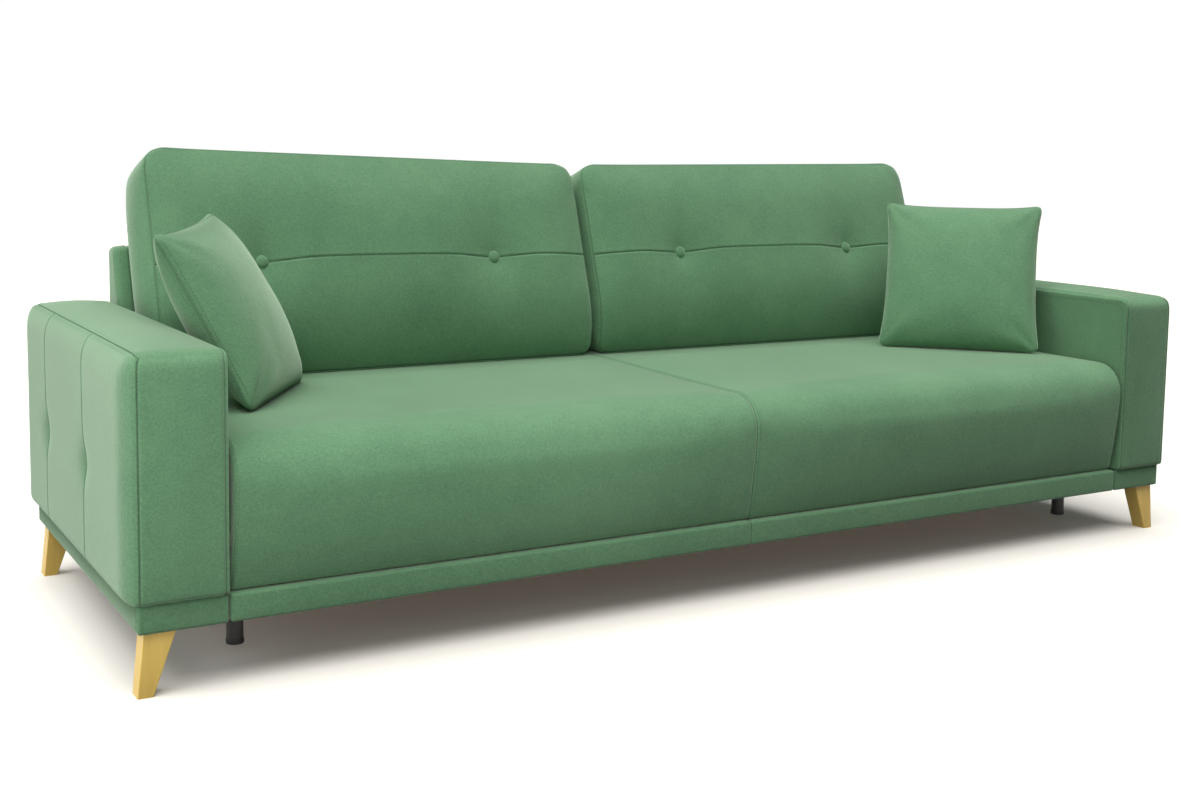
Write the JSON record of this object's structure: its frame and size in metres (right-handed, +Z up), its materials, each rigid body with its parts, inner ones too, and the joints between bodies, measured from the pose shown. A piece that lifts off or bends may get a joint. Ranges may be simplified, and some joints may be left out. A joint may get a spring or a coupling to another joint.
{
  "type": "sofa bed",
  "caption": "Three-seat sofa bed with padded arms, loose back and scatter cushions, a seat that steps forward on links, a backrest that lies down, and splayed wooden legs.",
  "frame": {"origin": "centre of the overall footprint, on the floor", "axes": "+X along the sofa to the sitter's left, -Y to the front, +Z up"},
  "size_m": [2.5, 0.926, 0.8848],
  "materials": {
    "green_velour": "short-pile velour, sage green, soft sheen",
    "oak_legs": "pale wood, satin lacquer",
    "black_steel": "black powder coat",
    "black_plastic": "matt black",
    "zinc_steel": "bright zinc",
    "webbing": "woven elastic",
    "frame_timber": "planed softwood, unfinished"
  },
  "bodies": {
    "base": {"left_arm_upholstery": "green_velour", "right_arm_upholstery": "green_velour", "left_arm_frame": "frame_timber", "right_arm_frame": "frame_timber", "left_arm_panels": "frame_timber", "right_arm_panels": "frame_timber", "left_arm_plinth": "green_velour", "right_arm_plinth": "green_velour", "left_leg_blocks": "frame_timber", "right_leg_blocks": "frame_timber", "front_left_leg": "oak_legs", "front_right_leg": "oak_legs", "rear_left_leg": "oak_legs", "rear_right_leg": "oak_legs", "leg_bolts": "zinc_steel", "left_side_rail": "frame_timber", "right_side_rail": "frame_timber", "base_front_rail": "frame_timber", "box_panel": "frame_timber", "rear_wall": "green_velour", "base_bolts": "zinc_steel", "left_base_plate": "black_steel", "right_base_plate": "black_steel", "left_backrest_pin": "black_steel", "right_backrest_pin": "black_steel"},
    "front_links": {"left_front_link": "black_steel", "right_front_link": "black_steel"},
    "rear_links": {"left_rear_link": "black_steel", "right_rear_link": "black_steel"},
    "seat": {"seat_frame": "frame_timber", "seat_springs": "zinc_steel", "seat_front_board": "frame_timber", "seat_plinth": "green_velour", "seat_cushion": "green_velour", "left_seat_plate": "black_steel", "right_seat_plate": "black_steel", "left_support_leg": "black_steel", "right_support_leg": "black_steel", "support_leg_caps": "black_plastic"},
    "backrest": {"backrest_upholstery": "green_velour", "backrest_frame": "frame_timber", "backrest_straps": "webbing", "left_backrest_bracket": "black_steel", "right_backrest_bracket": "black_steel"},
    "back_cushion_left": {"left_back_cushion": "green_velour", "left_cushion_buttons": "green_velour"},
    "back_cushion_right": {"right_back_cushion": "green_velour", "right_cushion_buttons": "green_velour"},
    "scatter_cushion_left": {"left_scatter_cushion": "green_velour"},
    "scatter_cushion_right": {"right_scatter_cushion": "green_velour"}
  },
  "joints": [
    {"name": "front_link_swing", "type": "hinge", "parent": "base", "child": "front_links", "pos_m": [0, -0.214, 0.13534], "axis": [1, 0, 0], "range_deg": [0, 105.64]},
    {"name": "seat_level", "type": "hinge", "parent": "front_links", "child": "seat", "pos_m": [0, -0.02676, 0.301], "axis": [-1, 0, 0], "range_deg": [0, 105.64]},
    {"name": "rear_link_swing", "type": "hinge", "parent": "base", "child": "rear_links", "pos_m": [0, 0.006, 0.13534], "axis": [1, 0, 0], "range_deg": [0, 105.64]},
    {"name": "backrest_fold", "type": "hinge", "parent": "base", "child": "backrest", "pos_m": [0, 0.2227, 0.50896], "axis": [-1, 0, 0], "range_deg": [0, 71.01]},
    {"name": "back_cushion_left_lay", "type": "hinge", "parent": "seat", "child": "back_cushion_left", "pos_m": [-0.524, 0.31551, 0.4234], "axis": [-1, 0, 0], "range_deg": [0, 71.01]},
    {"name": "back_cushion_right_lay", "type": "hinge", "parent": "seat", "child": "back_cushion_right", "pos_m": [0.524, 0.31551, 0.4234], "axis": [-1, 0, 0], "range_deg": [0, 71.01]},
    {"name": "scatter_cushion_left_lift", "type": "slide", "parent": "seat", "child": "scatter_cushion_left", "axis": [0, 0, 1], "range_m": [0, 0.45]},
    {"name": "scatter_cushion_right_lift", "type": "slide", "parent": "seat", "child": "scatter_cushion_right", "axis": [0, 0, 1], "range_m": [0, 0.45]}
  ],
  "couplings": [
    {"joint": "seat_level", "follows": "front_link_swing", "ratio": 1},
    {"joint": "rear_link_swing", "follows": "front_link_swing", "ratio": 1},
    {"joint": "backrest_fold", "follows": "front_link_swing", "ratio": 0.67211},
    {"joint": "back_cushion_left_lay", "follows": "front_link_swing", "ratio": 0.67211},
    {"joint": "back_cushion_right_lay", "follows": "front_link_swing", "ratio": 0.67211}
  ]
}
